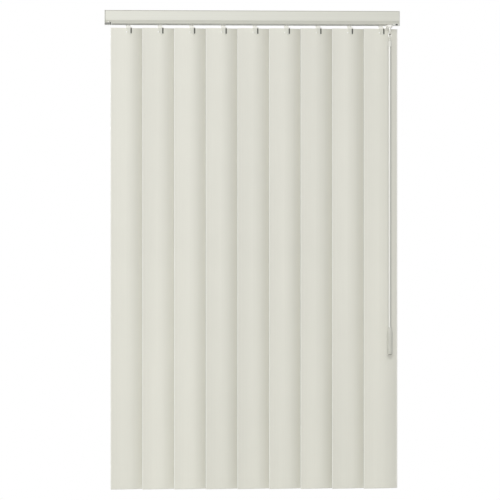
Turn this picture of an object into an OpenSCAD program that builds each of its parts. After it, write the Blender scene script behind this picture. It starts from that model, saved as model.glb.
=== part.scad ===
// Vertical blind: curved vanes on sliding carriers in a ceiling headrail, drawn and turned by one wand.
// Frame: +X right along the headrail, +Y to the back, +Z up. The top of the headrail is at Z = 0.
// The blind is drawn shut at rest, with the left edge of every vane turned to the front.

/* [Headrail] */
// Length of the channel between its end caps
rail_length = 742; // [600:1:900]
// Depth of the channel from front to back
rail_depth = 40; // [39:0.5:48]
// Height of the channel
rail_height = 35; // [34.5:0.5:38]
// Wall of the channel
rail_wall = 1.5; // [1.2:0.1:1.8]
// Radius of the channel's long outer edges
rail_edge_r = 3; // [1:0.5:3]
// Depth of the open channel on top that takes the ceiling clips
clip_channel_depth = 6.5; // [5.5:0.1:7]
// Width of each lip that the ceiling clips catch
lip_width = 7; // [5:0.5:8]
// Width of the slot along the underside
slot_width = 16; // [15.5:0.5:18]
// Depth of the groove along the front
groove_depth = 0.8; // [0.3:0.1:0.9]
// Height of the groove along the front
groove_height = 6; // [2:0.2:8]
// Height of the bead under the groove
bead_height = 3.2; // [2:0.2:5]

/* [End caps] */
// Thickness of the cap outside the channel
cap_thickness = 1.8; // [1.5:0.1:6]
// Width of the rim round the cap's outer face
cap_rim = 3.5; // [2:0.5:6]
// Depth of the outer face inside its rim
cap_recess = 0.6; // [0.2:0.1:1]
// Depth that the cap's plug goes into the channel
plug_depth = 10; // [6:0.5:14]
// Wall of the plug
plug_wall = 1.4; // [1:0.1:1.6]
// Length of the cap's foot under the channel
foot_length = 16; // [8:0.5:18]
// Width of the foot
foot_width = 9; // [5:0.5:11]
// Thickness of the foot
foot_thickness = 2; // [1.5:0.1:2.6]
// Thickness of the foot's lip over the bead
foot_lip = 1.2; // [0.8:0.1:2]

/* [Ceiling clips] */
// Distance from each end of the channel to a clip's screw
clip_inset = 91; // [40:1:200]
// Length of a clip along the channel
clip_length = 24; // [16:1:40]
// Thickness of the clip's steel
clip_thickness = 1.2; // [0.8:0.1:1.6]
// Radius of the screw hole
clip_hole_r = 2.5; // [2:0.1:3]

/* [Vanes] */
// Room at each end of the channel beyond the outermost vanes' stems
end_room = 51; // [48:0.5:60]
// Overlap of neighbouring vanes when drawn shut
vane_overlap = 9; // [6:0.5:12]
// Length of a vane
vane_length = 1165; // [600:5:2000]
// Thickness of the vane's sheet
vane_thickness = 0.8; // [0.6:0.1:0.9]
// Height of the vane's curve over its edges
vane_rise = 3.4; // [2:0.1:3.6]
// Turn of the vanes out of the headrail's line at rest, in degrees
rest_tilt = 12; // [12:0.5:20]
// Shift of the row of vanes to the right of the headrail's middle
vane_shift = 6.4; // [0:0.2:7]
// Drop of the vane's hanging slot below its top edge
slot_drop = 8; // [6:0.5:9]
// Width of the hanging slot
hang_slot_width = 10; // [9.8:0.1:16]
// Height of the hanging slot
hang_slot_height = 4.2; // [3.6:0.1:5]

/* [Carriers] */
// Distance between carriers when the vanes are stacked
stack_pitch = 17; // [17:0.5:20]
// Height of the tilt rod's axis over the channel's ledges
rod_lift = 9.5; // [9.2:0.1:9.8]
// Body of the carrier above the rod's axis
carrier_cover = 6.5; // [6:0.1:6.7]
// Height of the glide shoes
shoe_height = 2; // [1.5:0.1:2.4]
// Inner edge of each glide shoe, from the middle
shoe_inset = 9; // [8.5:0.5:11]
// Radius of the round neck in the slot
neck_r = 6.8; // [5:0.1:7.2]
// How far the neck stands out under the headrail
neck_drop = 1.6; // [1:0.1:2]

/* [Tilt drive] */
// Radius of the tilt rod
rod_r = 2.7; // [2.4:0.1:2.8]
// Radius of the rod's flutes
flute_r = 0.7; // [0.5:0.05:0.8]
// Teeth on each stem's wheel
wheel_teeth = 12; // [12:1:14]
// Lead of the single-start worm
worm_lead = 2.4; // [2.2:0.1:2.5]
// Turns of thread on the worm
worm_turns = 3; // [2:1:3]
// Pitch radius of the worm
worm_pitch_r = 4.2; // [4.1:0.05:4.4]
// Half the height of the worm's thread
thread_half = 0.6; // [0.4:0.05:0.65]
// Width of the wheel's teeth along the stem
wheel_width = 3; // [2:0.5:4]
// Length of the worm's plain end
journal_length = 1.8; // [1:0.1:2]
// Radius of the stem's shaft
stem_r = 2.5; // [2:0.1:2.8]

/* [Stem clips] */
// Width of the clip that holds a vane
clip_head_width = 11; // [9:0.5:12]
// Thickness of the clip's head
clip_head_depth = 6.5; // [5.5:0.1:7]
// Width of the clip's head at its top
shoulder_width = 8; // [6:0.5:9]
// Height of the slope from the top of the head to its full width
shoulder_drop = 2.6; // [1:0.1:3.5]
// Height of the gap between the neck and the vane's top edge
head_height = 6.9; // [6:0.1:9]
// Length of the prongs below the vane's top edge
prong_length = 16.5; // [14:0.5:20]
// Radius of the front prong's tip
tip_r = 2; // [1.5:0.1:2.5]
// Thickness of a prong
prong_thickness = 1.6; // [1.2:0.1:1.7]
// Width of the back prong
back_prong_width = 5.6; // [4:0.1:5.8]
// Height of the tooth in the hanging slot
tooth_height = 2.6; // [2:0.1:3]

/* [Spacers] */
// Width of a spacer strip
strip_width = 3; // [2:0.1:3.4]
// Thickness of a spacer strip
strip_thickness = 0.3; // [0.2:0.05:0.35]
// Height between the strips of neighbouring carriers
level_pitch = 0.8; // [0.75:0.01:0.82]
// Width of the strip's stop
stop_width = 6; // [5.4:0.1:6.2]
// Length of the strip's stop
stop_length = 2; // [1:0.5:4]
// Place of the strips in front of the stems
strip_y = -10.5; // [-11:0.1:-10.2]

/* [Wand] */
// Distance from the last vane's stem to the wand, along the headrail
wand_side = 18.2; // [18:0.2:22]
// Distance of the wand in front of the circle that the vanes' edges sweep
wand_clearance = 7.5; // [7.5:0.5:15]
// Width of the gear arm that carries the wand
arm_width = 14; // [12:0.5:16]
// Thickness of the gear arm
arm_thickness = 5; // [4.5:0.1:5.2]
// Length of the wand from its eye to the bottom of the grip
wand_length = 797; // [400:1:1000]
// Radius of the six-sided shaft at its corners
shaft_r = 3.9; // [3:0.1:4.2]
// Radius of the grip
grip_r = 6.8; // [6:0.1:6.9]
// Length of the grip
grip_length = 68; // [50:1:110]
// Length of the grip's taper
grip_taper = 14; // [6:1:20]
// Radius of the ring cut round the grip's lower end
grip_ring_r = 0.8; // [0.4:0.1:1.2]
// Height of that ring over the bottom of the grip
grip_ring_rise = 4.5; // [4:0.5:10]
// Radius of the wand's eye at the middle of its ring
eye_r = 4; // [3.8:0.1:5]
// Radius of the eye's ring
eye_wire_r = 1.3; // [1:0.05:1.35]
// Radius of the hook at the middle of its bar
hook_r = 3.2; // [3.1:0.05:3.6]
// Radius of the hook's bar
hook_wire_r = 1.4; // [1.1:0.05:1.45]

/* [Hidden] */
vane_count = 9;
$fn = 64;

// Clearances shared by the pieces
overrun = 1; // how far every cut runs past its face
bearing_gap = 0.08; // round a turning shaft
slide_gap = 0.15; // round the rod in a worm
loose_gap = 0.3; // between pieces that pass each other
press_gap = 0.05; // round a piece pressed into a socket

// Row of vanes and the clips over it
vane_pitch = (rail_length - 2 * end_room) / (vane_count - 1);
vane_width = vane_pitch + vane_overlap;
clip_spacing = rail_length - 2 * clip_inset;

// Channel of the headrail
cavity_width = rail_depth - 2 * rail_wall;
mouth_width = cavity_width - 2 * lip_width;
cavity_top = -clip_channel_depth - rail_wall;
cavity_floor = rail_wall - rail_height;

// Tilt drive
wheel_pitch_r = wheel_teeth * worm_lead / (2 * PI);
wheel_tip_r = wheel_pitch_r + thread_half / 2;
wheel_root_r = wheel_pitch_r - thread_half - loose_gap;
worm_root_r = worm_pitch_r - thread_half;
worm_length = worm_turns * worm_lead;
rod_y = wheel_pitch_r + worm_pitch_r;
rod_z = cavity_floor + rod_lift;
flute_count = 3;
worm_sides = 12;
slices_per_turn = 10;
tooth_root_share = 0.42; // of the worm's lead
tooth_tip_share = 0.15; // of the worm's lead

// Carriers
stack_gap = 1; // between neighbouring carriers when stacked
carrier_length = stack_pitch - stack_gap;
shoe_half = cavity_width / 2 - loose_gap;
carrier_half = shoe_half - rail_wall;
carrier_edge_r = 2;
carrier_floor = cavity_floor + shoe_height;
carrier_top = rod_z + carrier_cover;
neck_bottom = -rail_height - neck_drop;

// Spacer strips and their guides
lowest_level = carrier_top + loose_gap + 2 * strip_thickness;
post_gap = stop_width + 2 * loose_gap;
post_width = 1.5;
post_length = 5;
lug_thickness = 0.5;
lug_length = 2;
lug_gap = strip_width + 2 * loose_gap;

// Vanes and their clips
head_top = neck_bottom - loose_gap;
vane_top = neck_bottom - head_height;
vane_curve_r = vane_width * vane_width / (8 * vane_rise) + vane_rise / 2;
vane_half_angle = asin(vane_width / 2 / vane_curve_r);
clip_slack = 0.15;
shoulder_z = head_top - shoulder_drop;
clip_sag = vane_curve_r - sqrt(vane_curve_r * vane_curve_r - clip_head_width * clip_head_width / 4);
front_face = -vane_thickness / 2 - clip_slack;
back_face = vane_thickness / 2 + clip_slack + clip_sag;

// Wand
wand_x = vane_x(vane_count) + wand_side;
wand_front = vane_width / 2 + wand_clearance;
arm_bottom = vane_top + loose_gap * 2;
arm_top = arm_bottom + arm_thickness;
housing_end = wand_x + arm_width / 2 + post_width;
boss_r = 5;
boss_height = 2.5;
stem_head_r = 3.9;
stem_head_height = 1.6;
shank_length = 7;
jog_angle = 60; // two such bends move the bar sideways by their own radius
jog_height = 2 * hook_r * sin(jog_angle);
hook_rise = 5;
hook_tip_rise = 2.5;
hook_lap = 0.3;
bend_share = 0.96; // of the hook bar's radius
hook_top = arm_bottom - boss_height - stem_r - shank_length;
hook_centre = hook_top - jog_height - hook_rise;
swing_z = hook_centre - hook_r;
eye_z = swing_z + hook_wire_r + eye_wire_r + loose_gap - eye_r;
eye_neck_r = 2;
eye_neck_length = 3;
collar_r = 4.9;
collar_taper = 3;
collar_length = 16;
collar_top = eye_z - eye_r - eye_neck_length;
socket_depth = 12;
shaft_turn = 30; // a corner of the shaft faces the front
grip_bottom = eye_z - wand_length;
grip_top = grip_bottom + grip_length;
grip_socket_share = 0.5; // of the grip's length
grip_edge_r = 2.5;

function vane_x(i) = vane_shift + (i - (vane_count + 1) / 2) * vane_pitch;
function level_z(k) = lowest_level + (vane_count - 1 - k) * level_pitch;

// Extrudes an outline in Y and Z along the headrail, from x by length
module along_x(x, length) {
    translate([x, 0, 0])
        rotate([90, 0, 90])
            linear_extrude(length)
                children();
}

// A round bar along X, centred on x
module bar_x(radius, length, x, y, z) {
    translate([x, y, z])
        rotate([0, 90, 0])
            cylinder(h = length, r = radius, center = true);
}

// A rectangle with round corners, from its lowest corner to its highest
module rounded_outline(low, high, radius) {
    size = high - low;
    translate([low[0], low[1] + radius])
        square([size[0], size[1] - 2 * radius]);
    translate([low[0] + radius, low[1]])
        square([size[0] - 2 * radius, size[1]]);
    for (y = [low[0] + radius, high[0] - radius])
        for (z = [low[1] + radius, high[1] - radius])
            translate([y, z])
                circle(radius);
}

module rail_outline() {
    rounded_outline([-rail_depth / 2, -rail_height], [rail_depth / 2, 0], rail_edge_r);
}

module headrail() {
    color([0.86, 0.86, 0.82])
        along_x(-rail_length / 2, rail_length)
            difference() {
                rail_outline();
                translate([-cavity_width / 2, -clip_channel_depth])
                    square([cavity_width, clip_channel_depth - rail_wall]);
                translate([-mouth_width / 2, -clip_channel_depth])
                    square([mouth_width, clip_channel_depth + overrun]);
                translate([-cavity_width / 2, cavity_floor])
                    square([cavity_width, cavity_top - cavity_floor]);
                translate([-slot_width / 2, -rail_height - overrun])
                    square([slot_width, rail_wall + 2 * overrun]);
                translate([-rail_depth / 2 - overrun, bead_height - rail_height])
                    square([groove_depth + overrun, groove_height]);
            }
}

// The right-hand cap: an outer plate, a hollow plug, the rod's bearing and a foot that laps over the bead
module end_cap() {
    inner_face = rail_length / 2;
    plug_half = cavity_width / 2 - press_gap;
    plug_low = [-plug_half, cavity_floor + press_gap];
    plug_high = [plug_half, cavity_top - press_gap];
    bearing_r = rod_r + 2 * plug_wall;
    foot_low = [inner_face - foot_length, -rail_depth / 2 - foot_lip, -rail_height - foot_thickness];
    color([0.84, 0.85, 0.82])
        difference() {
            union() {
                along_x(inner_face, cap_thickness)
                    rail_outline();
                along_x(inner_face - plug_depth, plug_depth)
                    difference() {
                        rounded_outline(plug_low, plug_high, plug_wall / 2);
                        translate([plug_low[0] + plug_wall, plug_low[1] + plug_wall])
                            square([
                                plug_high[0] - plug_low[0] - 2 * plug_wall,
                                plug_high[1] - plug_low[1] - 2 * plug_wall
                            ]);
                    }
                bar_x(bearing_r, plug_depth, inner_face - plug_depth / 2, rod_y, rod_z);
                translate(foot_low) {
                    cube([foot_length + cap_thickness, foot_lip + foot_width, foot_thickness]);
                    cube([foot_length + cap_thickness, foot_lip, foot_thickness + bead_height]);
                }
            }
            bar_x(rod_r + bearing_gap, 2 * plug_depth, inner_face - plug_depth, rod_y, rod_z);
            along_x(inner_face + cap_thickness - cap_recess, cap_recess + overrun)
                rounded_outline(
                    [cap_rim - rail_depth / 2, cap_rim - rail_height],
                    [rail_depth / 2 - cap_rim, -cap_rim],
                    rail_edge_r / 2
                );
        }
}

module end_cap_right() {
    end_cap();
}

module end_cap_left() {
    mirror([1, 0, 0])
        end_cap();
}

// A spring clip: a plate flush with the headrail's top and two wings that catch under its lips
module bracket(x) {
    plate_half = mouth_width / 2 - loose_gap;
    wing_end = mouth_width / 2 + lip_width / 2;
    color([0.75, 0.76, 0.78])
        difference() {
            along_x(x - clip_length / 2, clip_length) {
                translate([-plate_half, -clip_thickness])
                    square([2 * plate_half, clip_thickness]);
                for (side = [0, 1])
                    mirror([side, 0]) {
                        translate([plate_half - clip_thickness, -rail_wall - clip_thickness])
                            square([clip_thickness, rail_wall + clip_thickness]);
                        translate([plate_half - clip_thickness, -rail_wall - clip_thickness])
                            square([wing_end - plate_half + clip_thickness, clip_thickness]);
                    }
            }
            translate([x, 0, 0])
                cylinder(h = 2 * (clip_thickness + overrun), r = clip_hole_r, center = true);
        }
}

module bracket_left() {
    bracket(-clip_spacing / 2);
}

module bracket_right() {
    bracket(clip_spacing / 2);
}

// The rod's section, or the bore that slides on it when it is grown by a gap
module rod_outline(gap) {
    difference() {
        circle(rod_r + gap);
        for (k = [1:flute_count])
            rotate(k * 360 / flute_count)
                translate([rod_r, 0])
                    circle(flute_r - gap);
    }
}

module tilt_rod() {
    color([0.72, 0.73, 0.74])
        translate([0, rod_y, rod_z])
            rotate([0, 90, 0])
                linear_extrude(rail_length - 2 * loose_gap, center = true)
                    rod_outline(0);
}

// A single-start worm with a round thread, its valley facing the stem at the middle
module worm(i) {
    total = worm_length + 2 * journal_length;
    color([0.9, 0.9, 0.87])
        translate([vane_x(i), rod_y, rod_z])
            rotate([0, 90, 0])
                difference() {
                    union() {
                        linear_extrude(
                            worm_length, center = true, twist = -360 * worm_turns,
                            slices = worm_turns * slices_per_turn, $fn = worm_sides
                        )
                            rotate(90 - 180 * worm_turns)
                                translate([thread_half, 0])
                                    circle(worm_pitch_r, $fn = worm_sides);
                        cylinder(h = total, r = worm_root_r, center = true);
                    }
                    linear_extrude(total + 2 * overrun, center = true)
                        rod_outline(slide_gap);
                }
}

module wheel_outline() {
    root_width = worm_lead * tooth_root_share;
    tip_width = worm_lead * tooth_tip_share;
    tooth_foot = wheel_root_r - thread_half;
    circle(wheel_root_r);
    for (k = [1:wheel_teeth])
        rotate(k * 360 / wheel_teeth)
            polygon([
                [-root_width / 2, tooth_foot],
                [root_width / 2, tooth_foot],
                [tip_width / 2, wheel_tip_r],
                [-tip_width / 2, wheel_tip_r]
            ]);
}

// The clip's front prong: a tongue with one slanted edge and a narrow round tip
module front_prong() {
    edge = clip_head_width / 2;
    tip_z = vane_top - prong_length + tip_r;
    translate([0, front_face, 0])
        rotate([90, 0, 0])
            linear_extrude(prong_thickness) {
                polygon([
                    [-edge, shoulder_z],
                    [-edge, vane_top],
                    [edge - 2 * tip_r, tip_z],
                    [edge, tip_z],
                    [edge, shoulder_z]
                ]);
                translate([edge - tip_r, tip_z])
                    circle(tip_r);
            }
}

// The clip's back prong, with a round lower end
module back_prong() {
    round_z = vane_top - prong_length + back_prong_width / 2;
    translate([0, back_face + prong_thickness, 0])
        rotate([90, 0, 0])
            linear_extrude(prong_thickness) {
                translate([-back_prong_width / 2, round_z])
                    square([back_prong_width, shoulder_z - round_z]);
                translate([0, round_z])
                    circle(back_prong_width / 2);
            }
}

// The clip's head, with sloping shoulders
module clip_head() {
    edge = clip_head_width / 2;
    head_bottom = vane_top + clip_slack;
    translate([0, clip_head_depth / 2, 0])
        rotate([90, 0, 0])
            linear_extrude(clip_head_depth)
                polygon([
                    [-edge, head_bottom],
                    [edge, head_bottom],
                    [edge, shoulder_z],
                    [shoulder_width / 2, head_top],
                    [-shoulder_width / 2, head_top],
                    [-edge, shoulder_z]
                ]);
}

// A stem: toothed wheel, shaft and the two-pronged clip that a vane hangs in
module stem(i) {
    tooth_top = vane_top - slot_drop - clip_slack;
    color([0.95, 0.95, 0.91])
        translate([vane_x(i), 0, 0]) {
            translate([0, 0, rod_z - wheel_width / 2])
                linear_extrude(wheel_width)
                    wheel_outline();
            translate([0, 0, head_top - overrun])
                cylinder(h = rod_z - head_top + overrun, r = stem_r);
            rotate([0, 0, rest_tilt]) {
                clip_head();
                front_prong();
                back_prong();
                translate([-back_prong_width / 2, front_face + clip_slack, tooth_top - tooth_height])
                    cube([back_prong_width, back_face - front_face, tooth_height]);
            }
        }
}

// A vane: a curved sheet, crowned towards the front, with its hanging slot
module vane(i) {
    slot_round = hang_slot_height / 2;
    slot_run = hang_slot_width - hang_slot_height;
    color([0.89, 0.89, 0.84])
        translate([vane_x(i), 0, 0])
            rotate([0, 0, rest_tilt])
                difference() {
                    translate([0, vane_curve_r, vane_top - vane_length])
                        rotate([0, 0, -90 - vane_half_angle])
                            rotate_extrude(angle = 2 * vane_half_angle)
                                translate([vane_curve_r - vane_thickness / 2, 0])
                                    square([vane_thickness, vane_length]);
                    translate([0, overrun, vane_top - slot_drop - slot_round])
                        rotate([90, 0, 0])
                            linear_extrude(2 * overrun) {
                                translate([-slot_run / 2, -slot_round])
                                    square([slot_run, hang_slot_height]);
                                for (x = [-slot_run / 2, slot_run / 2])
                                    translate([x, 0])
                                        circle(slot_round);
                            }
                }
}

// The carriers' section: a body with round edges on two glide shoes
module carrier_outline() {
    shoe_width = shoe_half - shoe_inset;
    rounded_outline([-carrier_half, carrier_floor], [carrier_half, carrier_top], carrier_edge_r);
    for (side = [0, 1])
        mirror([side, 0])
            translate([shoe_inset, cavity_floor + loose_gap])
                square([shoe_width, shoe_height - loose_gap + carrier_edge_r]);
}

// An open trough along X for a round bar that drops in from above
module trough(radius, length) {
    bar_x(radius, length, 0, rod_y, rod_z);
    translate([-length / 2, rod_y - radius, rod_z])
        cube([length, 2 * radius, carrier_cover + overrun]);
}

// Two posts that guide the strips, with lugs that catch the stop of one strip only
module strip_guide(level) {
    post_top = level_z(0) + level_pitch;
    lug_reach = (post_gap - lug_gap) / 2;
    for (side = [0, 1])
        translate([0, strip_y, 0])
            mirror([0, side, 0]) {
                translate([-post_length / 2, post_gap / 2, carrier_top - carrier_edge_r])
                    cube([post_length, post_width, post_top - carrier_top + carrier_edge_r]);
                translate([post_length / 2 - lug_length, lug_gap / 2, level - lug_thickness / 2])
                    cube([lug_length, lug_reach + post_width / 2, lug_thickness]);
            }
}

// A carrier: body, shoes, neck, worm trough, wheel pit and strip guide
module carrier(i) {
    pit_floor = rod_z - wheel_width / 2 - loose_gap;
    color([0.93, 0.93, 0.9])
        translate([vane_x(i), 0, 0])
            difference() {
                union() {
                    along_x(-carrier_length / 2, carrier_length)
                        carrier_outline();
                    translate([0, 0, neck_bottom])
                        cylinder(h = carrier_floor - neck_bottom + overrun, r = neck_r);
                    strip_guide(level_z(i - 1));
                }
                translate([0, 0, neck_bottom - overrun])
                    cylinder(h = pit_floor - neck_bottom + 2 * overrun, r = stem_r + bearing_gap);
                translate([0, 0, pit_floor])
                    cylinder(h = carrier_top - pit_floor + overrun, r = wheel_tip_r + loose_gap);
                trough(worm_pitch_r + thread_half + loose_gap, worm_length + 2 * loose_gap);
                trough(worm_root_r + bearing_gap, worm_length + 2 * journal_length + 2 * loose_gap);
                bar_x(rod_r + loose_gap, carrier_length + 2 * overrun, 0, rod_y, rod_z);
            }
}

// A spacer strip: a head held in one carrier's guide, a run, and a stop behind the next carrier's lugs
module strip(from_x, head_length, to_x, level) {
    stop_x = to_x + post_length / 2 + loose_gap;
    translate([0, strip_y, level - strip_thickness / 2])
        linear_extrude(strip_thickness) {
            translate([from_x, -strip_width / 2])
                square([stop_x - from_x + stop_length, strip_width]);
            translate([from_x, -post_gap / 2])
                square([head_length, post_gap]);
            translate([stop_x, -stop_width / 2])
                square([stop_length, stop_width]);
        }
}

module spacer(i) {
    color([0.78, 0.79, 0.8])
        strip(vane_x(i) - post_length / 2, post_length, vane_x(i + 1), level_z(i));
}

module anchor_strip() {
    color([0.78, 0.79, 0.8])
        strip(-rail_length / 2, stop_length, vane_x(1), level_z(0));
}

// The lead carrier: a closed housing round the rod, with a flat gear arm that reaches out in front
module wand_carrier() {
    start = vane_x(vane_count) + carrier_length / 2;
    neck_half = slot_width / 2 - overrun;
    head_floor = arm_bottom + (arm_thickness - stem_head_height) / 2 - loose_gap;
    color([0.95, 0.95, 0.92])
        difference() {
            union() {
                along_x(start, housing_end - start)
                    carrier_outline();
                translate([wand_x - arm_width / 2, -neck_half, arm_bottom])
                    cube([arm_width, 2 * neck_half, carrier_floor - arm_bottom + overrun]);
                translate([wand_x - arm_width / 2, -wand_front, arm_bottom])
                    cube([arm_width, wand_front, arm_thickness]);
                translate([wand_x, -wand_front, arm_bottom])
                    cylinder(h = arm_thickness, r = arm_width / 2);
                translate([wand_x, -wand_front, arm_bottom - boss_height])
                    cylinder(h = boss_height + overrun, r = boss_r);
            }
            bar_x(rod_r + loose_gap, 2 * rail_length, 0, rod_y, rod_z);
            translate([wand_x, -wand_front, arm_bottom - boss_height - overrun])
                cylinder(h = head_floor - arm_bottom + boss_height + 2 * overrun, r = stem_r + bearing_gap);
            translate([wand_x, -wand_front, head_floor])
                cylinder(h = stem_head_height + 2 * loose_gap, r = stem_head_r + loose_gap);
        }
}

// A bend of the hook in the plane of X and Z, round a centre, from a start angle by a turn
module hook_bend(x, z, start, turn) {
    translate([x, 0, z])
        rotate([90, 0, 0])
            rotate([0, 0, start])
                rotate_extrude(angle = turn)
                    translate([hook_r, 0])
                        circle(hook_wire_r * bend_share);
}

// A straight stretch of the hook, upwards from z, that laps a little over the bends at its ends
module hook_bar(x, z, length) {
    translate([x, 0, z - hook_lap])
        cylinder(h = length + 2 * hook_lap, r = hook_wire_r);
}

// The wand's drive stem: a head in the gear arm, a shaft and an offset open hook with a straight seat
module wand_stem() {
    head_bottom = arm_bottom + (arm_thickness - stem_head_height) / 2;
    shaft_bottom = arm_bottom - boss_height - stem_r;
    color([0.95, 0.95, 0.92])
        translate([wand_x, -wand_front, 0]) {
            translate([0, 0, head_bottom])
                cylinder(h = stem_head_height, r = stem_head_r);
            translate([0, 0, shaft_bottom])
                cylinder(h = head_bottom - shaft_bottom + overrun, r = stem_r);
            hook_bar(0, hook_top, shank_length);
            hook_bend(-hook_r, hook_top, -jog_angle, jog_angle);
            translate([-hook_r / 2, 0, hook_top - jog_height / 2])
                sphere(hook_wire_r);
            hook_bend(0, hook_top - jog_height, 180 - jog_angle, jog_angle);
            hook_bar(-hook_r, hook_centre, hook_rise);
            hook_bend(0, hook_centre, 180, 180);
            bar_x(hook_wire_r, 2 * eye_wire_r, 0, 0, swing_z);
            hook_bar(hook_r, hook_centre, hook_tip_rise);
        }
}

// The wand's eye: a ring on the hook, a neck and a collar that takes the shaft
module wand_eye() {
    color([0.93, 0.93, 0.9])
        translate([wand_x, -wand_front, 0])
            difference() {
                union() {
                    translate([0, 0, eye_z])
                        rotate([0, 90, 0])
                            rotate_extrude()
                                translate([eye_r, 0])
                                    circle(eye_wire_r);
                    translate([0, 0, collar_top])
                        cylinder(h = eye_z - eye_r - collar_top, r = eye_neck_r);
                    translate([0, 0, collar_top - collar_taper])
                        cylinder(h = collar_taper, r1 = collar_r, r2 = eye_neck_r);
                    translate([0, 0, collar_top - collar_length])
                        cylinder(h = collar_length - collar_taper, r = collar_r);
                }
                translate([0, 0, collar_top - collar_length - overrun])
                    rotate([0, 0, shaft_turn])
                        cylinder(h = socket_depth + overrun, r = shaft_r + press_gap, $fn = 6);
            }
}

module wand_shaft() {
    shaft_top = collar_top - collar_length + socket_depth;
    shaft_bottom = grip_top - grip_length * grip_socket_share;
    color([0.9, 0.9, 0.87])
        translate([wand_x, -wand_front, shaft_bottom])
            rotate([0, 0, shaft_turn])
                cylinder(h = shaft_top - shaft_bottom, r = shaft_r, $fn = 6);
}

module wand_grip() {
    straight = grip_length - grip_taper;
    socket = grip_length * grip_socket_share;
    color([0.88, 0.88, 0.84])
        translate([wand_x, -wand_front, grip_bottom])
            difference() {
                rotate_extrude() {
                    square([grip_r - grip_edge_r, straight]);
                    translate([0, grip_edge_r])
                        square([grip_r, straight - grip_edge_r]);
                    translate([grip_r - grip_edge_r, grip_edge_r])
                        circle(grip_edge_r);
                    polygon([[0, straight], [grip_r, straight], [collar_r, grip_length], [0, grip_length]]);
                }
                translate([0, 0, grip_length - socket])
                    rotate([0, 0, shaft_turn])
                        cylinder(h = socket + overrun, r = shaft_r + press_gap, $fn = 6);
                rotate_extrude()
                    translate([grip_r, grip_ring_rise])
                        circle(grip_ring_r);
            }
}

headrail();
end_cap_left();
end_cap_right();
bracket_left();
bracket_right();
tilt_rod();
anchor_strip();
for (i = [1:vane_count]) {
    carrier(i);
    worm(i);
    stem(i);
    vane(i);
}
for (i = [1:vane_count - 1])
    spacer(i);
wand_carrier();
wand_stem();
wand_eye();
wand_shaft();
wand_grip();
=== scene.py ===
import math

import bpy
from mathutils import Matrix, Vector


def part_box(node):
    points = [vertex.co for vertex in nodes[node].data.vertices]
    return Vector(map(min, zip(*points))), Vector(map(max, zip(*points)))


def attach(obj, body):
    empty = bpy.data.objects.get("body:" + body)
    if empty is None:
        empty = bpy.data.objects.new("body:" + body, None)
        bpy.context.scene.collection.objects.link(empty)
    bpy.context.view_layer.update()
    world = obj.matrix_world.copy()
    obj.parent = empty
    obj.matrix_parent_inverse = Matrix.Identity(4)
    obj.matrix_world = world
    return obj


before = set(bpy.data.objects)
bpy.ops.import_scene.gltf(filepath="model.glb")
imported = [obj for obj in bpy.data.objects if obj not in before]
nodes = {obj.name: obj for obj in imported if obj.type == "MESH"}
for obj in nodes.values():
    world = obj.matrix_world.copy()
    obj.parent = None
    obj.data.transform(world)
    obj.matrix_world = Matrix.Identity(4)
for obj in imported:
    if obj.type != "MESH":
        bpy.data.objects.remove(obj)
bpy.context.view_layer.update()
print("frame loaded:", len(nodes), "pieces")

# the camera stands level, a little to the left of the blind's middle
cameraShot = {
    "aim": (-0.0055, 0.0, -0.6043), "distance": 6.5, "yaw": 2.3, "field": 1.265, "sensor": 36.0,
}


def addCamera(shot):
    yaw = math.radians(shot["yaw"])
    ahead = Vector((math.sin(yaw), math.cos(yaw), 0))
    stand = Vector(shot["aim"]) - shot["distance"] * ahead
    bpy.ops.object.camera_add(location=stand, rotation=(math.radians(90), 0, -yaw))
    camera = bpy.context.object
    camera.data.sensor_width = shot["sensor"]
    camera.data.lens = shot["sensor"] * shot["distance"] / shot["field"]
    bpy.context.scene.camera = camera


addCamera(cameraShot)
print("camera placed")


def linearTone(tone):  # by the usual curve of screen colours
    share = tone / 255
    return share / 12.92 if tone < 11 else ((share + 0.055) / 1.055) ** 2.4


def shade(red, green, blue):  # a colour as a picture editor shows it, 0 to 255, made linear
    return linearTone(red), linearTone(green), linearTone(blue), 1


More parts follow.
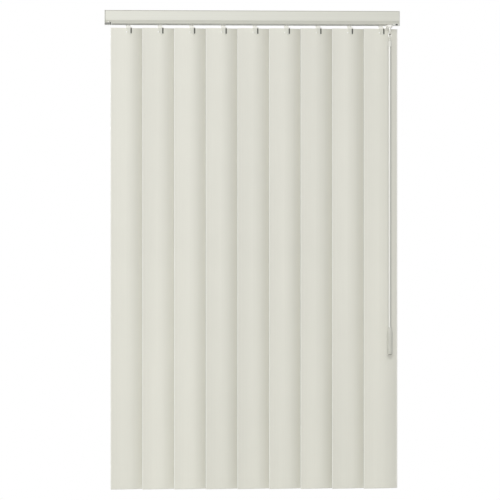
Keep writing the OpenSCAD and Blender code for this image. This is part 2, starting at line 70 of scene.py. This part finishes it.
class Wire:  # a node's output, which can be reckoned with as a number
    def __init__(self, tree, socket=None):
        self.tree, self.socket = tree, socket

    def node(self, kind, settings=None, inputs=None, output=0):
        made = self.tree.nodes.new(kind)
        for name, value in (settings or {}).items():
            setattr(made, name, value)
        for name, value in (inputs or {}).items():
            if isinstance(value, Wire):
                self.tree.links.new(value.socket, made.inputs[name])
            else:
                made.inputs[name].default_value = value
        return Wire(self.tree, made.outputs[output])

    def maths(self, operation, first, second):
        return self.node("ShaderNodeMath", {"operation": operation}, {0: first, 1: second})

    def __add__(self, other):
        return self.maths("ADD", self, other)

    def __radd__(self, other):
        return self.maths("ADD", other, self)

    def __sub__(self, other):
        return self.maths("SUBTRACT", self, other)

    def __rsub__(self, other):
        return self.maths("SUBTRACT", other, self)

    def __mul__(self, other):
        return self.maths("MULTIPLY", self, other)

    def __rmul__(self, other):
        return self.maths("MULTIPLY", other, self)

    def most(self, other):  # the larger of the two
        return self.maths("MAXIMUM", self, other)

    def step(self, low, high):  # 0 below low, 1 above high, smooth between
        return self.node("ShaderNodeMapRange", {"interpolation_type": "SMOOTHSTEP"},
                         {"Value": self, "From Min": low, "From Max": high})

    def band(self, low, high, soft):  # 1 between low and high, 0 outside
        return self.step(low - soft, low) * (1 - self.step(high, high + soft))

    def blend(self, first, second):  # a colour between two, by this mask
        return self.node("ShaderNodeMix", {"data_type": "RGBA"}, {0: self, 6: first, 7: second}, 2)

    def part(self, letter):
        return self.node("ShaderNodeSeparateXYZ", None, {0: self}, letter)

    def laid(self, move=(0, 0, 0), turn=(0, 0, 0), scale=(1, 1, 1)):  # a place seen from a piece's own axes
        return self.node("ShaderNodeMapping", {"vector_type": "TEXTURE"},
                         {"Vector": self, "Location": move, "Rotation": turn, "Scale": scale})

    def noise(self, scale, detail=2.0, roughness=0.5):
        return self.node("ShaderNodeTexNoise", None,
                         {"Vector": self, "Scale": scale, "Detail": detail, "Roughness": roughness})

    def drawn(self, lengths, detail, roughness=0.5):  # noise drawn out to its own length along each axis
        return self.laid(scale=lengths).noise(1.0, detail, roughness)

    def bump(self, height, strength, worn=0.0):  # worn rounds the look of sharp edges
        inputs = {"Height": self, "Distance": height, "Strength": strength}
        if worn:
            inputs["Normal"] = self.node("ShaderNodeBevel", {"samples": 4}, {"Radius": worn})
        return self.node("ShaderNodeBump", None, inputs)


def newFinish(name, constants):  # a material and the place on its surface
    finish = bpy.data.materials.new(name)
    finish.use_nodes = True
    shader = finish.node_tree.nodes["Principled BSDF"]
    for socket, value in constants.items():
        shader.inputs[socket].default_value = value
    return finish, Wire(finish.node_tree).node("ShaderNodeTexCoord", None, None, "Object")


def feed(finish, **wires):
    shader = finish.node_tree.nodes["Principled BSDF"]
    for socket, wire in wires.items():
        finish.node_tree.links.new(wire.socket, shader.inputs[socket.replace("_", " ")])


def dress(finish, *names):
    for name in names:
        for held in nodes[name].material_slots:
            held.material = finish


# pieces are modelled one by one: a primitive, then faces and edges picked by their place
facing = 0.9  # a face looks along an axis when its normal reaches this far that way


def startPiece(name, addPrimitive, **placed):
    bpy.ops.object.select_all(action="DESELECT")
    addPrimitive(**placed)
    piece = bpy.context.object
    piece.name = piece.data.name = name
    bpy.ops.object.transform_apply(location=True, rotation=True, scale=True)
    bpy.ops.object.mode_set(mode="EDIT")
    bpy.ops.mesh.select_mode(type="FACE")
    return piece


def pickFaces(piece, test):
    bpy.ops.mesh.select_mode(type="FACE")
    bpy.ops.mesh.select_all(action="DESELECT")
    bpy.ops.object.mode_set(mode="OBJECT")
    for face in piece.data.polygons:
        face.select = test(face.center, face.normal)
    bpy.ops.object.mode_set(mode="EDIT")


def pickEdges(piece, test):
    bpy.ops.mesh.select_mode(type="EDGE")
    bpy.ops.mesh.select_all(action="DESELECT")
    bpy.ops.object.mode_set(mode="OBJECT")
    spots = piece.data.vertices
    for edge in piece.data.edges:
        edge.select = test(spots[edge.vertices[0]].co, spots[edge.vertices[1]].co)
    bpy.ops.object.mode_set(mode="EDIT")


def pull(x, y, z):
    bpy.ops.mesh.extrude_region_move(TRANSFORM_OT_translate={"value": (x, y, z)})


def closePiece(piece, smooth=35):
    bpy.ops.mesh.select_all(action="SELECT")
    bpy.ops.mesh.remove_doubles(threshold=1e-6)
    bpy.ops.mesh.normals_make_consistent(inside=False)
    bpy.ops.object.mode_set(mode="OBJECT")
    bpy.ops.object.shade_smooth_by_angle(angle=math.radians(smooth))
    return piece


def turnedPiece(name, profile, sides):  # a round piece, pulled up ring by ring from (height, radius)
    piece = startPiece(name, bpy.ops.mesh.primitive_circle_add, vertices=sides, radius=profile[0][1],
                       fill_type="NGON", location=(0, 0, profile[0][0]))
    bpy.ops.mesh.select_all(action="SELECT")
    for (low, was), (high, now) in zip(profile, profile[1:]):
        pull(0, 0, high - low)
        bpy.ops.transform.resize(value=(now / was, now / was, 1), center_override=(0, 0, high))
    return closePiece(piece)


def placeCopy(master, name, move, turn, finish, body, grow=1):
    piece = master.copy()
    piece.data = master.data.copy()
    piece.name = piece.data.name = name
    bpy.context.collection.objects.link(piece)
    piece.location, piece.rotation_euler, piece.scale = move, turn, (grow, grow, grow)
    bpy.ops.object.select_all(action="DESELECT")
    piece.select_set(True)
    bpy.context.view_layer.objects.active = piece
    bpy.ops.object.transform_apply(location=True, rotation=True, scale=True)
    piece.data.materials.append(finish)
    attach(piece, body)
    return piece


# vanes: extruded PVC with faint lengthwise streaks, a darker matt strip along the bottom edge, darker towards the
# bottom, and a fuller curve than the sheet's, which the bump gives: the photo's vanes bulge more than vanes that
# still have to stack
vaneLook = {
    "count": 9, "tilt": 12.0, "bottom": -1.2085, "sheetCurve": 1.707, "sheetHalf": 0.0001,
    "colour": (235, 234, 223), "roughness": 0.42, "lean": 0.18, "bulge": 4.0,
    "streakColour": (229, 228, 217), "streak": (0.004, 0.02, 0.9), "streakRange": (0.35, 0.75),
    "streakShare": 0.35, "streakRough": 0.1, "cloud": 7.0, "cloudRange": (0.3, 0.8), "cloudShare": 0.3,
    "grain": 1700.0, "tooth": 0.000005,
    "bottomStripColour": (196, 195, 184), "bottomStripHeight": (0.0004, 0.0016), "bottomStripShare": 0.8, "bottomStripRough": 0.25,
    "greyColour": (196, 196, 186), "patch": (0.11, 0.11, 1.6), "patchRange": (0.35, 0.75), "aged": 0.16,
    # darker towards the bottom of each vane
    "bottomDarkShare": 0.1, "bottomDarkHeight": (0.08, 0.45),
}
vaneNumbers = range(1, vaneLook["count"] + 1)


def vaneMiddle(number):
    low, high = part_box(f"stem_{number}")
    return (low.x + high.x) / 2


def vaneFinish(number, look):
    finish, place = newFinish(f"vanePvc{number}", {"IOR": 1.46, "Specular IOR Level": 0.45})
    own = place.laid((vaneMiddle(number), 0, 0), (0, 0, math.radians(look["tilt"])))
    across, rise = own.part("X"), own.part("Z") - look["bottom"]
    streaks = own.drawn(look["streak"], detail=4.0, roughness=0.6)
    cloud = own.noise(look["cloud"])
    grain = own.noise(look["grain"], detail=1.0)
    patches = place.drawn(look["patch"], detail=1.0)  # no two vanes have aged alike
    back = (own.part("Y") - across * across * look["sheetCurve"]).step(-look["sheetHalf"], look["sheetHalf"])
    fuller = (across * look["lean"] - across * across * look["bulge"]) * (1 - 2 * back)
    # a darker, matt strip along the bottom edge
    bottomStrip = 1 - rise.step(*look["bottomStripHeight"])
    # darker towards the bottom of each vane
    darkening = 1 - rise.step(*look["bottomDarkHeight"])
    streaked = streaks.step(*look["streakRange"]) * look["streakShare"]
    clouded = cloud.step(*look["cloudRange"]) * look["cloudShare"]
    grey = patches.step(*look["patchRange"]) * look["aged"] + darkening * look["bottomDarkShare"]
    colour = (streaked + clouded).blend(shade(*look["colour"]), shade(*look["streakColour"]))
    colour = grey.blend(colour, shade(*look["greyColour"]))
    colour = (bottomStrip * look["bottomStripShare"]).blend(colour, shade(*look["bottomStripColour"]))
    feed(finish, Base_Color=colour,
         Roughness=look["roughness"] + look["streakRough"] * streaks + look["bottomStripRough"] * bottomStrip,
         Normal=(fuller + (streaks + grain) * look["tooth"]).bump(height=1.0, strength=1.0))
    return finish


for number in vaneNumbers:
    dress(vaneFinish(number, vaneLook), f"vane_{number}")
print("vanes finished")

# headrail: satin paint over an extrusion, with its drawing lines; painted shade in the groove, along the lower
# front edge and in the gap at the left cap, and the underside painted paler as painted light
railLook = {
    "colour": (220, 220, 209), "roughness": 0.34, "soft": 0.0004,
    "lineColour": (212, 212, 201), "line": (1.2, 0.003, 0.003), "lineRange": (0.3, 0.8), "lineShare": 0.5,
    "peel": 900.0, "peelRough": 0.1, "peelHeight": 0.6, "lineHeight": 0.4,
    "relief": 0.00005, "strength": 0.25, "worn": 0.0006,
    # painted shade in the groove, patchy, where the paint is also rougher
    "grooveShadeColour": (200, 200, 189), "grooveY": (-0.0195, -0.0188), "darkening": 0.35, "darkeningMore": 0.4,
    "darkeningPatch": 40.0, "grooveRough": 0.25,
    # painted shade of the gap at the left cap
    "seamShadeColour": (128, 128, 120), "seamX": 0.3698, "seamShadeShare": 0.8,
    # painted shade along the rail's lower front edge
    "lowerEdgeShadeColour": (104, 104, 97), "underZ": (-0.0347, -0.0337), "underY": (-0.014, -0.009), "lowerEdgeShadeShare": 0.35,
    # painted light: the underside paler, against its shade
    "undersideLightColour": (248, 248, 243), "undersideZ": (-0.03495, -0.0348),
}


def railFinish(look):
    finish, place = newFinish("railPaint", {"IOR": 1.5})
    across, deep, height = place.part("X"), place.part("Y"), place.part("Z")
    lines = place.drawn(look["line"], detail=3.0, roughness=0.6)
    peel = place.noise(look["peel"])
    groove = deep.band(*look["grooveY"], look["soft"])
    # painted shade in the groove, patchy
    darkening = groove * (look["darkening"] + look["darkeningMore"] * place.noise(look["darkeningPatch"], detail=3.0))
    # painted shade: a dark line in the gap at the left cap
    seam = (0 - across).step(look["seamX"], look["seamX"] + look["soft"])  # the left cap doesn't close fully
    # painted shade along the rail's lower front edge
    under = height.band(*look["underZ"], look["soft"]) * (1 - deep.step(*look["underY"]))
    # painted light: the underside paler, against its shade
    undersideLight = 1 - height.step(*look["undersideZ"])
    lined = lines.step(*look["lineRange"]) * look["lineShare"]
    colour = lined.blend(shade(*look["colour"]), shade(*look["lineColour"]))
    colour = darkening.blend(colour, shade(*look["grooveShadeColour"]))
    colour = (seam * look["seamShadeShare"]).blend(colour, shade(*look["seamShadeColour"]))
    colour = (under * look["lowerEdgeShadeShare"]).blend(colour, shade(*look["lowerEdgeShadeColour"]))
    colour = undersideLight.blend(colour, shade(*look["undersideLightColour"]))
    skin = peel * look["peelHeight"] + lines * look["lineHeight"]
    feed(finish, Base_Color=colour,
         Roughness=look["roughness"] + look["peelRough"] * peel + look["grooveRough"] * groove,
         Normal=skin.bump(look["relief"], look["strength"], look["worn"]))
    return finish


dress(railFinish(railLook), "headrail")

# moulded plastics share one recipe: fine mould texture, a slightly uneven gloss and edges worn round
mould = {
    "flow": 90.0, "flowRange": (0.25, 0.85), "shadowShare": 0.6, "uneven": 0.12,
    "relief": 0.00005, "strength": 0.25, "worn": 0.0004,
}


def mouldedFinish(name, look):
    finish, place = newFinish(name, {"IOR": 1.48})
    flow = place.noise(mould["flow"], detail=3.0, roughness=0.55)
    shadowed = flow.step(*mould["flowRange"]) * mould["shadowShare"]
    feed(finish, Base_Color=shadowed.blend(shade(*look["colour"]), shade(*look["shadow"])),
         Roughness=look["roughness"] + mould["uneven"] * flow,
         Normal=place.noise(look["grain"], detail=1.0).bump(mould["relief"], mould["strength"], mould["worn"]))
    return finish


plastics = {
    "capPlastic": {
        "colour": (220, 221, 213), "shadow": (212, 213, 205), "roughness": 0.42, "grain": 1800.0,
        "pieces": ("end_cap_left", "end_cap_right"),
    },
    "hookPlastic": {
        "colour": (254, 253, 247), "shadow": (248, 247, 240), "roughness": 0.26, "grain": 2400.0,
        "pieces": ("wand_stem", "wand_carrier"),
    },
    "carrierAcetal": {
        "colour": (238, 238, 231), "shadow": (229, 229, 221), "roughness": 0.38, "grain": 2000.0,
        "pieces": [f"{kind}_{number}" for kind in ("carrier", "worm") for number in vaneNumbers],
    },
    "eyePlastic": {
        "colour": (232, 232, 223), "shadow": (224, 224, 215), "roughness": 0.3, "grain": 2400.0,
        "pieces": ("wand_eye",),
    },
    "wandGrip": {
        "colour": (207, 207, 197), "shadow": (199, 199, 189), "roughness": 0.32, "grain": 2400.0,
        "pieces": ("wand_grip",),
    },
}

for name, look in plastics.items():
    dress(mouldedFinish(name, look), *look["pieces"])

# hanger stems: milky plastic with painted see-through and light: the head ivory, as if white showed through it
# and lit against the shade under the rail, and the thin prongs in the vane's tone, as if the vane showed through
# them
stemLook = {
    "head": (254, 253, 247), "prong": (230, 230, 220), "headZ": (-0.0439, -0.0429), "roughness": 0.55,
    "flow": 120.0, "flowRange": (0.3, 0.9), "flowShare": 0.15, "uneven": 0.12,
    "grain": 2400.0, "relief": 0.00004, "strength": 0.25, "worn": 0.0004,
}


def stemFinish(look):
    finish, place = newFinish("stemPlastic", {"IOR": 1.48})
    flow = place.noise(look["flow"], detail=3.0, roughness=0.55)
    # painted see-through and light: the head lighter above the vane, the prongs in the vane's tone
    head = place.part("Z").step(*look["headZ"])
    colour = head.blend(shade(*look["prong"]), shade(*look["head"]))
    colour = (flow.step(*look["flowRange"]) * look["flowShare"]).blend(colour, shade(*look["prong"]))
    feed(finish, Base_Color=colour, Roughness=look["roughness"] + look["uneven"] * flow,
         Normal=place.noise(look["grain"], detail=1.0).bump(look["relief"], look["strength"], look["worn"]))
    return finish


dress(stemFinish(stemLook), *(f"stem_{number}" for number in vaneNumbers))

# wand shaft: acrylic whose grey is painted shade, every other one of its six faces a painted highlight, pale and
# a little glossier
shaftLook = {
    "polished": (253, 253, 247), "paintedShadeColour": (190, 190, 181), "faces": (-120, 0, 120), "flat": (0.003327, 0.003357),
    "highlightShare": 0.8, "highlightMore": 0.2, "roughness": 0.3, "polishRough": 0.1, "flow": 60.0, "uneven": 0.1,
    "grain": 3000.0, "relief": 0.00004, "strength": 0.25, "worn": 0.0003,
}


def shaftFinish(look):
    finish, place = newFinish("wandShaft", {"IOR": 1.49})
    low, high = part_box("wand_shaft")
    own = place.laid(((low.x + high.x) / 2, (low.y + high.y) / 2, 0))
    across, deep = own.part("X"), own.part("Y")
    ways = [math.radians(face) for face in look["faces"]]
    first, second, third = (across * math.cos(way) + deep * math.sin(way) for way in ways)
    # painted highlight on every other face, which is also less rough; the other faces' grey is painted shade
    polished = first.most(second.most(third)).step(*look["flat"])
    flow = place.noise(look["flow"], detail=3.0, roughness=0.55)
    pale = polished * (look["highlightShare"] + look["highlightMore"] * flow)
    feed(finish, Base_Color=pale.blend(shade(*look["paintedShadeColour"]), shade(*look["polished"])),
         Roughness=look["roughness"] + look["uneven"] * flow - look["polishRough"] * polished,
         Normal=place.noise(look["grain"], detail=1.0).bump(look["relief"], look["strength"], look["worn"]))
    return finish


dress(shaftFinish(shaftLook), "wand_shaft")

# metals: rolled spring steel and drawn aluminium, brushed along their length
metals = {
    "clipSteel": {
        "colour": (200, 202, 204), "shadow": (176, 178, 181), "roughness": 0.28,
        "brush": (0.0006, 0.03, 0.0006), "pieces": ("bracket_left", "bracket_right"),
    },
    "stripSteel": {
        "colour": (196, 198, 200), "shadow": (172, 174, 178), "roughness": 0.25,
        "brush": (0.05, 0.0005, 0.0005),
        "pieces": ("anchor_strip", *(f"spacer_{number}" for number in vaneNumbers[:-1])),
    },
    "rodAluminium": {
        "colour": (208, 210, 212), "shadow": (190, 192, 195), "roughness": 0.3,
        "brush": (0.2, 0.0004, 0.0004), "pieces": ("tilt_rod",),
    },
}
brushing = {"rough": 0.15, "relief": 0.00005, "strength": 0.3, "worn": 0.0003}


def metalFinish(name, look):
    finish, place = newFinish(name, {"Metallic": 1.0})
    brush = place.drawn(look["brush"], detail=3.0, roughness=0.6)
    feed(finish, Base_Color=brush.blend(shade(*look["colour"]), shade(*look["shadow"])),
         Roughness=look["roughness"] + brushing["rough"] * brush,
         Normal=brush.bump(brushing["relief"], brushing["strength"], brushing["worn"]))
    return finish


for name, look in metals.items():
    dress(metalFinish(name, look), *look["pieces"])
print("rail, carriers, wand and metals finished")

# rolled edges of the vanes: a slim bead down each side, painted pale as a highlight, its outer rim painted dark
# as the shade in the gap between overlapping vanes
edgeBead = {
    "across": 0.0020, "deep": 0.0010, "round": 0.0003, "rim": 0.0006, "smooth": 50,
    "out": 0.0438, "back": 0.0033, "slope": 8.6, "top": -0.0438, "bottom": -1.2082,
    "rolled": {"colour": (252, 252, 246), "shadow": (246, 246, 239), "roughness": 0.3, "grain": 2200.0},
    "gapShade": {"colour": (178, 178, 168), "shadow": (162, 162, 153), "roughness": 0.6, "grain": 1600.0},
}


def addEdgeBeads(bead):
    finish = mouldedFinish("vaneEdge", bead["rolled"])
    rim = mouldedFinish("vaneRim", bead["gapShade"])
    drop = bead["top"] - bead["bottom"]
    master = startPiece("edgeBead", bpy.ops.mesh.primitive_cube_add, size=1,
                        location=(0, 0, (bead["top"] + bead["bottom"]) / 2),
                        scale=(bead["across"], bead["deep"], drop))
    pickEdges(master, lambda a, b: abs(a.z - b.z) > drop / 2)
    bpy.ops.mesh.bevel(offset=bead["round"], segments=3, affect="EDGES")
    bpy.ops.mesh.select_all(action="SELECT")
    bpy.ops.mesh.bisect(plane_co=(-bead["rim"], 0, 0), plane_no=(1, 0, 0))
    closePiece(master, bead["smooth"])
    for face in master.data.polygons:
        # the outer rim takes the painted gap shade
        face.material_index = int(face.center.x < -bead["rim"])
    tilt, slope = math.radians(vaneLook["tilt"]), math.radians(bead["slope"])
    for number in vaneNumbers:
        for side, word in ((-1, "Left"), (1, "Right")):
            out, back = side * bead["out"], bead["back"]
            spot = (vaneMiddle(number) + out * math.cos(tilt) - back * math.sin(tilt),
                    out * math.sin(tilt) + back * math.cos(tilt), 0)
            turn = tilt + side * slope + (math.pi if side > 0 else 0)
            piece = placeCopy(master, f"edge{word}{number}", spot, (0, 0, turn), finish,
                              f"vane_unit_{number}")
            noGapShade = number == 1 and side < 0  # the blind's first edge has no painted gap shade: no vane overlaps it
            piece.data.materials.append(finish if noGapShade else rim)
    bpy.data.objects.remove(master)


addEdgeBeads(edgeBead)

# dark leaves beside each front prong, put as painted shade where the prong's shade falls on the vane; the top is
# ivory like the stem's head
shadeLeaf = {
    "left": 0.0062, "right": 0.0092, "front": -0.0016, "rear": -0.0006, "top": -0.0408, "bend": -0.0430,
    "tip": -0.0566, "reach": 0.0011, "round": 0.00025, "point": 0.0006, "pointSize": (0.55, 0.7, 1),
    "colour": (84, 84, 79), "shadow": (66, 66, 62), "roughness": 0.45, "uneven": 0.15, "flow": 150.0,
    "ivory": (244, 242, 234), "ivoryZ": (-0.0436, -0.0433),
    "grain": 2600.0, "relief": 0.00004, "strength": 0.3, "worn": 0.0002,
}


def shadeLeafFinish(look):
    finish, place = newFinish("paintedShadeLeaf", {"IOR": 1.5})
    flow = place.noise(look["flow"], detail=3.0, roughness=0.6)
    cover = place.part("Z").step(*look["ivoryZ"])
    # painted shade: the leaf is dark, ivory above the vane like the stem's head
    colour = flow.blend(shade(*look["colour"]), shade(*look["shadow"]))
    colour = cover.blend(colour, shade(*look["ivory"]))
    feed(finish, Base_Color=colour, Roughness=look["roughness"] + look["uneven"] * flow,
         Normal=place.noise(look["grain"], detail=1.0).bump(look["relief"], look["strength"], look["worn"]))
    return finish


def addShadeLeaves(leaf):
    finish = shadeLeafFinish(leaf)
    middle = Vector(((leaf["left"] + leaf["right"]) / 2, (leaf["front"] + leaf["rear"]) / 2, 0))
    size = (leaf["right"] - leaf["left"], leaf["rear"] - leaf["front"], leaf["bend"] - leaf["tip"])
    master = startPiece("shadeLeafShape", bpy.ops.mesh.primitive_cube_add, size=1,
                        location=(middle.x, middle.y, (leaf["bend"] + leaf["tip"]) / 2), scale=size)
    pickFaces(master, lambda spot, way: way.z > facing)
    pull(0, 0, leaf["top"] - leaf["bend"])
    pickFaces(master, lambda spot, way: way.x < -facing and spot.z > leaf["bend"])
    pull(-leaf["reach"], 0, 0)  # the arm that joins the stem's head
    pickFaces(master, lambda spot, way: way.z < -facing and spot.z < leaf["tip"] + leaf["point"])
    pull(0, 0, -leaf["point"])
    bpy.ops.transform.resize(value=leaf["pointSize"], center_override=middle)  # a tapered tip
    pickEdges(master, lambda a, b: min(a.x, b.x) > leaf["left"] - leaf["round"])
    bpy.ops.mesh.bevel(offset=leaf["round"], segments=2, affect="EDGES", clamp_overlap=True)
    closePiece(master)
    tilt = math.radians(vaneLook["tilt"])
    for number in vaneNumbers:
        placeCopy(master, f"keeper{number}", (vaneMiddle(number), 0, 0), (0, 0, tilt), finish,
                  f"vane_unit_{number}")
    bpy.data.objects.remove(master)


addShadeLeaves(shadeLeaf)

# dark pins: one with a round socket closes the gear arm; a plain dark bar across the mouth of the wand's hook is
# painted shade of the hook's opening
pin = {
    "profile": ((-0.0002, 0.0016), (0.0004, 0.0016), (0.0007, 0.0012)), "sides": 24, "topAbove": 0.0006,
    "socket": 0.0006, "deep": -0.0004, "grow": 1.5, "armTop": -0.0379,
    "bar": ((-0.0024, 0.0007), (-0.0020, 0.0010), (0.0020, 0.0010), (0.0024, 0.0007)), "barSides": 20,
    "mouth": -0.0622, "colour": (64, 64, 61), "shadow": (46, 46, 44), "roughness": 0.35, "grain": 2600.0,
}


def addPins(head):
    finish = mouldedFinish("pinBlack", head)
    master = turnedPiece("pinShape", head["profile"], head["sides"])
    bpy.ops.object.mode_set(mode="EDIT")
    pickFaces(master, lambda spot, way: way.z > facing and spot.z > head["topAbove"])
    bpy.ops.mesh.inset(thickness=head["profile"][-1][1] - head["socket"])
    pull(0, 0, head["deep"])
    closePiece(master)
    low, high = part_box("wand_grip")
    middle = ((low.x + high.x) / 2, (low.y + high.y) / 2)
    placeCopy(master, "armPin", (*middle, head["armTop"]), (0, 0, 0), finish,
              "lead_unit", head["grow"])
    bpy.data.objects.remove(master)
    # painted shade: a dark bar in the hook's mouth
    master = turnedPiece("barShape", head["bar"], head["barSides"])
    placeCopy(master, "hookMouthShade", (*middle, head["mouth"]), (0, math.radians(90), 0), finish,
              "wand_drive")
    bpy.data.objects.remove(master)


addPins(pin)

# small plates with a pressed hollow at the end caps' feet: the dark ones painted shade of the gaps there, and one
# small pale plate
footPieces = {
    # painted shade: the dark plates and catches
    "footShadePlateLeft": {"x": (-0.3722, -0.3604), "z": (-0.0364, -0.0319), "y": (-0.0217, -0.0211), "tone": 136},
    "footShadeCatchLeft": {"x": (-0.3597, -0.3571), "z": (-0.0368, -0.0304), "y": (-0.0219, -0.0199), "tone": 46},
    # one small pale plate
    "footPaleSpotLeft": {"x": (-0.3649, -0.3619), "z": (-0.0310, -0.0281), "y": (-0.0203, -0.0190), "tone": 250},
    "footShadeCatchRight": {"x": (0.3618, 0.3672), "z": (-0.0364, -0.0332), "y": (-0.0218, -0.0211), "tone": 36},
}
footPieceLook = {
    "warm": 4, "darker": 10, "roughness": 0.45, "grain": 2200.0, "round": 0.3, "border": 0.22, "hollow": 0.0002,
}


def footPieceFinish(name, tone, look):
    dark = tone - look["darker"]
    return mouldedFinish(name, {
        "colour": (tone, tone, tone - look["warm"]), "shadow": (dark, dark, dark - look["warm"]),
        "roughness": look["roughness"], "grain": look["grain"],
    })


def addFootPiece(name, footPiece, look):
    finish = footPieceFinish(name, footPiece["tone"], look)
    low, high = (Vector(corner) for corner in zip(footPiece["x"], footPiece["y"], footPiece["z"]))
    piece = startPiece(name, bpy.ops.mesh.primitive_cube_add, size=1, location=(low + high) / 2,
                       scale=high - low)
    narrow = min(high.x - low.x, high.z - low.z)
    pickEdges(piece, lambda a, b: abs(a.y - b.y) > (high.y - low.y) / 2)
    bpy.ops.mesh.bevel(offset=narrow * look["round"], segments=3, affect="EDGES")
    pickFaces(piece, lambda spot, way: way.y < -facing)
    bpy.ops.mesh.inset(thickness=narrow * look["border"])
    pull(0, look["hollow"], 0)
    closePiece(piece)
    piece.data.materials.append(finish)
    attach(piece, "rail_unit")


for name, footPiece in footPieces.items():
    addFootPiece(name, footPiece, footPieceLook)

# end plug of the grip: a grey button pressed into its lower end
gripPlug = {
    "profile": ((0.0008, 0.0036), (-0.0002, 0.0043), (-0.0009, 0.0040), (-0.0013, 0.0030)), "sides": 32,
    "endBelow": -0.0012, "dimple": 0.0012, "deep": 0.0006,
    "colour": (132, 132, 125), "shadow": (112, 112, 106), "roughness": 0.5, "grain": 2000.0,
}


def addGripPlug(plug):
    finish = mouldedFinish("plugRubber", plug)
    master = turnedPiece("plugShape", plug["profile"], plug["sides"])
    bpy.ops.object.mode_set(mode="EDIT")
    pickFaces(master, lambda spot, way: spot.z < plug["endBelow"])
    bpy.ops.mesh.inset(thickness=plug["dimple"])
    pull(0, 0, plug["deep"])
    closePiece(master)
    low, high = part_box("wand_grip")
    spot = ((low.x + high.x) / 2, (low.y + high.y) / 2, low.z)
    placeCopy(master, "gripPlug", spot, (0, 0, 0), finish, "wand")
    bpy.data.objects.remove(master)


addGripPlug(gripPlug)
print("edge beads, shadeLeaves, pins, latches and grip plug modelled")


def seenDirectly(wire):  # 1 for what the camera sees, also in a reflection or through something clear
    seen = wire.node("ShaderNodeLightPath", None, None, "Is Camera Ray")
    for name in ("Is Glossy Ray", "Is Transmission Ray"):
        seen = seen.most(wire.node("ShaderNodeLightPath", None, None, name))
    return seen


# floor under the blind: pale and matt near it, where its shadow falls, and white further off
floorLook = {
    "colour": (240, 240, 237), "roughness": 0.9, "height": -1.32, "size": 2.6,
    "near": 0.3, "far": 0.52, "narrow": 0.6, "lift": 0.6,
}


def addFloor(look):
    bpy.ops.object.select_all(action="DESELECT")
    bpy.ops.mesh.primitive_plane_add(size=look["size"], location=(0, 0, look["height"]))
    floor = bpy.context.object
    floor.name = "floor"
    bpy.ops.object.transform_apply(location=True, rotation=True, scale=True)
    finish, place = newFinish("paleFloor", {"Base Color": shade(*look["colour"]), "Roughness": look["roughness"]})
    tree = finish.node_tree
    across, deep = place.part("X") * look["narrow"], place.part("Y")
    away = (across * across + deep * deep).step(look["near"] ** 2, look["far"] ** 2)
    white = place.node("ShaderNodeEmission", None, {"Color": (1, 1, 1, 1), "Strength": 1.0})
    matt = Wire(tree, tree.nodes["Principled BSDF"].outputs[0])
    lifted = look["lift"] + (1 - look["lift"]) * away
    mixed = place.node("ShaderNodeMixShader", None, {0: lifted * seenDirectly(place), 1: matt, 2: white})
    tree.links.new(mixed.socket, tree.nodes["Material Output"].inputs["Surface"])
    floor.data.materials.append(finish)


addFloor(floorLook)

# the room: white where the camera or a reflection sees it, and softer as a light
roomLight = {"ambient": 0.25}


def addRoom(light):
    world = bpy.data.worlds.new("studio")
    world.use_nodes = True
    bpy.context.scene.world = world
    tree = world.node_tree
    strength = light["ambient"] + (1 - light["ambient"]) * seenDirectly(Wire(tree))
    tree.links.new(strength.socket, tree.nodes["Background"].inputs["Strength"])
    tree.nodes["Background"].inputs["Color"].default_value = (1, 1, 1, 1)


addRoom(roomLight)

# two broad lamps from the front, one close at each side that fades across the blind, and one behind for the back
lampAim = Vector((0, 0, -0.6))
lamps = {
    "front": {"stand": (-0.3, -7.0, 0.6), "size": 1.2, "watts": 139.0},
    "frontLeft": {"stand": (-3.5, -6.062, 0.6), "size": 1.2, "watts": 72.0},
    "left": {"stand": (-1.838, -1.838, 0.3), "size": 0.8, "watts": 12.4},
    "right": {"stand": (2.511, -0.673, 0.3), "size": 1.8, "watts": 11.0},
    "back": {"stand": (-3.3, 5.7, 0.8), "size": 1.6, "watts": 200.0},
}


def addLamp(name, lamp):
    stand = Vector(lamp["stand"])
    turn = (lampAim - stand).to_track_quat("-Z", "Y").to_euler()
    bpy.ops.object.light_add(type="AREA", location=stand, rotation=turn)
    made = bpy.context.object
    made.name = name
    made.data.size = lamp["size"]
    made.data.energy = lamp["watts"]


for name, lamp in lamps.items():
    addLamp(name, lamp)
bpy.context.scene.view_settings.view_transform = "Standard"
print("room and lamps set")
